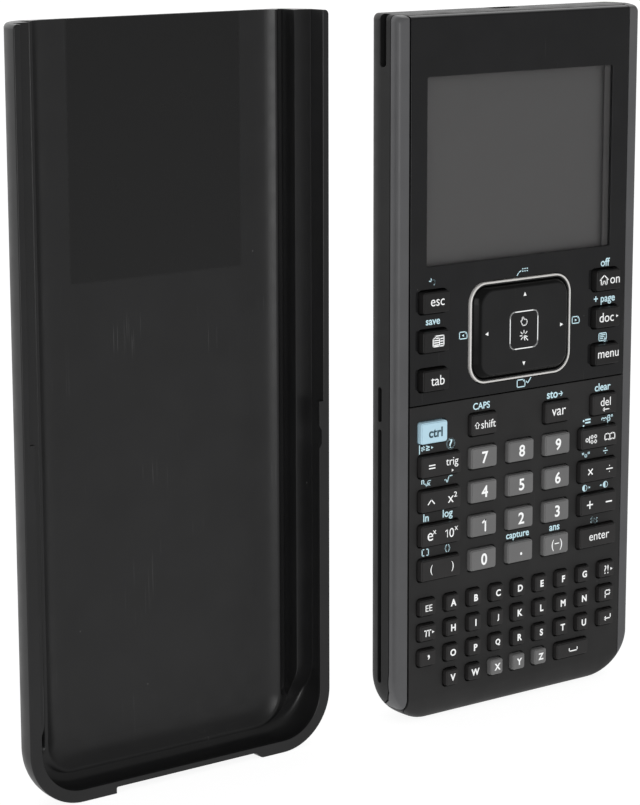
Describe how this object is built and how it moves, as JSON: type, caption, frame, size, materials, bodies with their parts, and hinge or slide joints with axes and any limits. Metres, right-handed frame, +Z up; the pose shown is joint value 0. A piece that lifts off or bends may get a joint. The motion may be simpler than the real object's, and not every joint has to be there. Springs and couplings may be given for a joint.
{
  "type": "graphing calculator",
  "caption": "Slim handheld graphing calculator with a wide display, touchpad and full keypad, standing beside its open trough-shaped slide cover.",
  "frame": {"origin": "centre of the whole object's base, on the surface that the calculator and its cover stand on", "axes": "+Z up along the calculator's length, towards the display end; +Y from the keys towards the back; +X to the right as seen from the keys"},
  "size_m": [0.1994, 0.0176, 0.1939],
  "materials": {
    "housing_plastic": "fine moulded texture, charcoal",
    "grip_plastic": "satin dark grey paint",
    "gloss_face": "polished near-black",
    "keypad_face": "smooth matt charcoal",
    "window": "clear hard-coated lens",
    "display": "unlit grey display",
    "circuit_board": "green solder resist",
    "silicone": "translucent white silicone",
    "silver_trim": "satin silver plating",
    "touchpad_plastic": "polished black",
    "black_key": "semi-gloss black with white legends",
    "dark_key": "satin charcoal with white legends",
    "number_key": "satin mid grey with white legends",
    "ctrl_key": "pale blue with grey legend",
    "battery_wrap": "shrink-wrapped cell pack",
    "socket_metal": "tinned steel",
    "connector_plastic": "black moulding",
    "screw_steel": "zinc plated",
    "reset_plastic": "light grey moulding",
    "cover_plastic": "smooth dark grey with fine scratches"
  },
  "bodies": {
    "calculator": {"rear_housing": "housing_plastic", "left_side_grip": "grip_plastic", "right_side_grip": "grip_plastic", "upper_faceplate": "gloss_face", "keypad_faceplate": "keypad_face", "display_window": "window", "lcd_module": "display", "main_board": "circuit_board", "keypad_membrane": "silicone", "touchpad_trim": "silver_trim", "battery_pack": "battery_wrap", "battery_door": "housing_plastic", "usb_socket": "socket_metal", "dock_connector": "connector_plastic", "door_screw_lower": "screw_steel", "door_screw_upper": "screw_steel"},
    "touchpad": {"touchpad": "touchpad_plastic"},
    "reset_button": {"reset_button": "reset_plastic"},
    "slide_cover": {"slide_cover": "cover_plastic"},
    "key_esc": {"key_esc": "black_key"},
    "key_scratchpad": {"key_scratchpad": "black_key"},
    "key_tab": {"key_tab": "black_key"},
    "key_home": {"key_home": "black_key"},
    "key_doc": {"key_doc": "black_key"},
    "key_menu": {"key_menu": "black_key"},
    "key_shift": {"key_shift": "dark_key"},
    "key_var": {"key_var": "dark_key"},
    "key_del": {"key_del": "dark_key"},
    "key_ctrl": {"key_ctrl": "ctrl_key"},
    "key_enter": {"key_enter": "dark_key"},
    "key_7": {"key_7": "number_key"},
    "key_8": {"key_8": "number_key"},
    "key_9": {"key_9": "number_key"},
    "key_4": {"key_4": "number_key"},
    "key_5": {"key_5": "number_key"},
    "key_6": {"key_6": "number_key"},
    "key_1": {"key_1": "number_key"},
    "key_2": {"key_2": "number_key"},
    "key_3": {"key_3": "number_key"},
    "key_0": {"key_0": "number_key"},
    "key_point": {"key_point": "number_key"},
    "key_negative": {"key_negative": "number_key"},
    "key_ee": {"key_ee": "dark_key"},
    "key_pi": {"key_pi": "dark_key"},
    "key_comma": {"key_comma": "dark_key"},
    "key_punctuation": {"key_punctuation": "dark_key"},
    "key_flag": {"key_flag": "dark_key"},
    "key_return": {"key_return": "dark_key"},
    "key_space": {"key_space": "dark_key"},
    "letters_a_to_g": {"letters_a_to_g": "dark_key"},
    "letters_h_to_n": {"letters_h_to_n": "dark_key"},
    "letters_o_to_u": {"letters_o_to_u": "dark_key"},
    "letters_v_to_z": {"letters_v_to_z": "dark_key"},
    "key_equals_trig": {"key_equals_trig": "dark_key"},
    "key_power_square": {"key_power_square": "dark_key"},
    "key_exponentials": {"key_exponentials": "dark_key"},
    "key_brackets": {"key_brackets": "dark_key"},
    "key_template_catalog": {"key_template_catalog": "dark_key"},
    "key_times_divide": {"key_times_divide": "dark_key"},
    "key_plus_minus": {"key_plus_minus": "dark_key"}
  },
  "joints": [
    {"name": "cover_lift", "type": "slide", "parent": "calculator", "child": "slide_cover", "axis": [0, 0, 1], "range_m": [0, 0.2]},
    {"name": "touchpad_press", "type": "slide", "parent": "calculator", "child": "touchpad", "axis": [0, 1, 0], "range_m": [0, 0.0005], "stiffness_N_per_m": 1500},
    {"name": "reset_press", "type": "slide", "parent": "calculator", "child": "reset_button", "axis": [0, -1, 0], "range_m": [0, 0.0006], "stiffness_N_per_m": 600},
    {"name": "key_equals_trig_rock", "type": "hinge", "parent": "calculator", "child": "key_equals_trig", "pos_m": [0.02777, -0.0043, 0.0715], "axis": [0, 0, 1], "range_deg": [-3.5, 3.5], "stiffness_Nm_per_rad": 0.07},
    {"name": "key_power_square_rock", "type": "hinge", "parent": "calculator", "child": "key_power_square", "pos_m": [0.02777, -0.0043, 0.06197], "axis": [0, 0, 1], "range_deg": [-3.5, 3.5], "stiffness_Nm_per_rad": 0.07},
    {"name": "key_exponentials_rock", "type": "hinge", "parent": "calculator", "child": "key_exponentials", "pos_m": [0.02777, -0.0043, 0.05244], "axis": [0, 0, 1], "range_deg": [-3.5, 3.5], "stiffness_Nm_per_rad": 0.07},
    {"name": "key_brackets_rock", "type": "hinge", "parent": "calculator", "child": "key_brackets", "pos_m": [0.02777, -0.0043, 0.04291], "axis": [0, 0, 1], "range_deg": [-3.5, 3.5], "stiffness_Nm_per_rad": 0.07},
    {"name": "key_template_catalog_rock", "type": "hinge", "parent": "calculator", "child": "key_template_catalog", "pos_m": [0.08557, -0.0043, 0.0715], "axis": [0, 0, 1], "range_deg": [-3.5, 3.5], "stiffness_Nm_per_rad": 0.07},
    {"name": "key_times_divide_rock", "type": "hinge", "parent": "calculator", "child": "key_times_divide", "pos_m": [0.08557, -0.0043, 0.06197], "axis": [0, 0, 1], "range_deg": [-3.5, 3.5], "stiffness_Nm_per_rad": 0.07},
    {"name": "key_plus_minus_rock", "type": "hinge", "parent": "calculator", "child": "key_plus_minus", "pos_m": [0.08557, -0.0043, 0.05244], "axis": [0, 0, 1], "range_deg": [-3.5, 3.5], "stiffness_Nm_per_rad": 0.07},
    {"name": "letters_a_to_g_press", "type": "slide", "parent": "calculator", "child": "letters_a_to_g", "axis": [0, 1, 0], "range_m": [0, 0.0008], "stiffness_N_per_m": 600},
    {"name": "letters_h_to_n_press", "type": "slide", "parent": "calculator", "child": "letters_h_to_n", "axis": [0, 1, 0], "range_m": [0, 0.0008], "stiffness_N_per_m": 600},
    {"name": "letters_o_to_u_press", "type": "slide", "parent": "calculator", "child": "letters_o_to_u", "axis": [0, 1, 0], "range_m": [0, 0.0008], "stiffness_N_per_m": 600},
    {"name": "letters_v_to_z_press", "type": "slide", "parent": "calculator", "child": "letters_v_to_z", "axis": [0, 1, 0], "range_m": [0, 0.0008], "stiffness_N_per_m": 600},
    {"name": "key_esc_press", "type": "slide", "parent": "calculator", "child": "key_esc", "axis": [0, 1, 0], "range_m": [0, 0.0009], "stiffness_N_per_m": 600},
    {"name": "key_scratchpad_press", "type": "slide", "parent": "calculator", "child": "key_scratchpad", "axis": [0, 1, 0], "range_m": [0, 0.0009], "stiffness_N_per_m": 600},
    {"name": "key_tab_press", "type": "slide", "parent": "calculator", "child": "key_tab", "axis": [0, 1, 0], "range_m": [0, 0.0009], "stiffness_N_per_m": 600},
    {"name": "key_home_press", "type": "slide", "parent": "calculator", "child": "key_home", "axis": [0, 1, 0], "range_m": [0, 0.0009], "stiffness_N_per_m": 600},
    {"name": "key_doc_press", "type": "slide", "parent": "calculator", "child": "key_doc", "axis": [0, 1, 0], "range_m": [0, 0.0009], "stiffness_N_per_m": 600},
    {"name": "key_menu_press", "type": "slide", "parent": "calculator", "child": "key_menu", "axis": [0, 1, 0], "range_m": [0, 0.0009], "stiffness_N_per_m": 600},
    {"name": "key_shift_press", "type": "slide", "parent": "calculator", "child": "key_shift", "axis": [0, 1, 0], "range_m": [0, 0.0009], "stiffness_N_per_m": 600},
    {"name": "key_var_press", "type": "slide", "parent": "calculator", "child": "key_var", "axis": [0, 1, 0], "range_m": [0, 0.0009], "stiffness_N_per_m": 600},
    {"name": "key_del_press", "type": "slide", "parent": "calculator", "child": "key_del", "axis": [0, 1, 0], "range_m": [0, 0.0009], "stiffness_N_per_m": 600},
    {"name": "key_ctrl_press", "type": "slide", "parent": "calculator", "child": "key_ctrl", "axis": [0, 1, 0], "range_m": [0, 0.0009], "stiffness_N_per_m": 600},
    {"name": "key_enter_press", "type": "slide", "parent": "calculator", "child": "key_enter", "axis": [0, 1, 0], "range_m": [0, 0.0009], "stiffness_N_per_m": 600},
    {"name": "key_7_press", "type": "slide", "parent": "calculator", "child": "key_7", "axis": [0, 1, 0], "range_m": [0, 0.0009], "stiffness_N_per_m": 600},
    {"name": "key_8_press", "type": "slide", "parent": "calculator", "child": "key_8", "axis": [0, 1, 0], "range_m": [0, 0.0009], "stiffness_N_per_m": 600},
    {"name": "key_9_press", "type": "slide", "parent": "calculator", "child": "key_9", "axis": [0, 1, 0], "range_m": [0, 0.0009], "stiffness_N_per_m": 600},
    {"name": "key_4_press", "type": "slide", "parent": "calculator", "child": "key_4", "axis": [0, 1, 0], "range_m": [0, 0.0009], "stiffness_N_per_m": 600},
    {"name": "key_5_press", "type": "slide", "parent": "calculator", "child": "key_5", "axis": [0, 1, 0], "range_m": [0, 0.0009], "stiffness_N_per_m": 600},
    {"name": "key_6_press", "type": "slide", "parent": "calculator", "child": "key_6", "axis": [0, 1, 0], "range_m": [0, 0.0009], "stiffness_N_per_m": 600},
    {"name": "key_1_press", "type": "slide", "parent": "calculator", "child": "key_1", "axis": [0, 1, 0], "range_m": [0, 0.0009], "stiffness_N_per_m": 600},
    {"name": "key_2_press", "type": "slide", "parent": "calculator", "child": "key_2", "axis": [0, 1, 0], "range_m": [0, 0.0009], "stiffness_N_per_m": 600},
    {"name": "key_3_press", "type": "slide", "parent": "calculator", "child": "key_3", "axis": [0, 1, 0], "range_m": [0, 0.0009], "stiffness_N_per_m": 600},
    {"name": "key_0_press", "type": "slide", "parent": "calculator", "child": "key_0", "axis": [0, 1, 0], "range_m": [0, 0.0009], "stiffness_N_per_m": 600},
    {"name": "key_point_press", "type": "slide", "parent": "calculator", "child": "key_point", "axis": [0, 1, 0], "range_m": [0, 0.0009], "stiffness_N_per_m": 600},
    {"name": "key_negative_press", "type": "slide", "parent": "calculator", "child": "key_negative", "axis": [0, 1, 0], "range_m": [0, 0.0009], "stiffness_N_per_m": 600},
    {"name": "key_ee_press", "type": "slide", "parent": "calculator", "child": "key_ee", "axis": [0, 1, 0], "range_m": [0, 0.0008], "stiffness_N_per_m": 600},
    {"name": "key_pi_press", "type": "slide", "parent": "calculator", "child": "key_pi", "axis": [0, 1, 0], "range_m": [0, 0.0008], "stiffness_N_per_m": 600},
    {"name": "key_comma_press", "type": "slide", "parent": "calculator", "child": "key_comma", "axis": [0, 1, 0], "range_m": [0, 0.0008], "stiffness_N_per_m": 600},
    {"name": "key_punctuation_press", "type": "slide", "parent": "calculator", "child": "key_punctuation", "axis": [0, 1, 0], "range_m": [0, 0.0008], "stiffness_N_per_m": 600},
    {"name": "key_flag_press", "type": "slide", "parent": "calculator", "child": "key_flag", "axis": [0, 1, 0], "range_m": [0, 0.0008], "stiffness_N_per_m": 600},
    {"name": "key_return_press", "type": "slide", "parent": "calculator", "child": "key_return", "axis": [0, 1, 0], "range_m": [0, 0.0008], "stiffness_N_per_m": 600},
    {"name": "key_space_press", "type": "slide", "parent": "calculator", "child": "key_space", "axis": [0, 1, 0], "range_m": [0, 0.0008], "stiffness_N_per_m": 600}
  ]
}
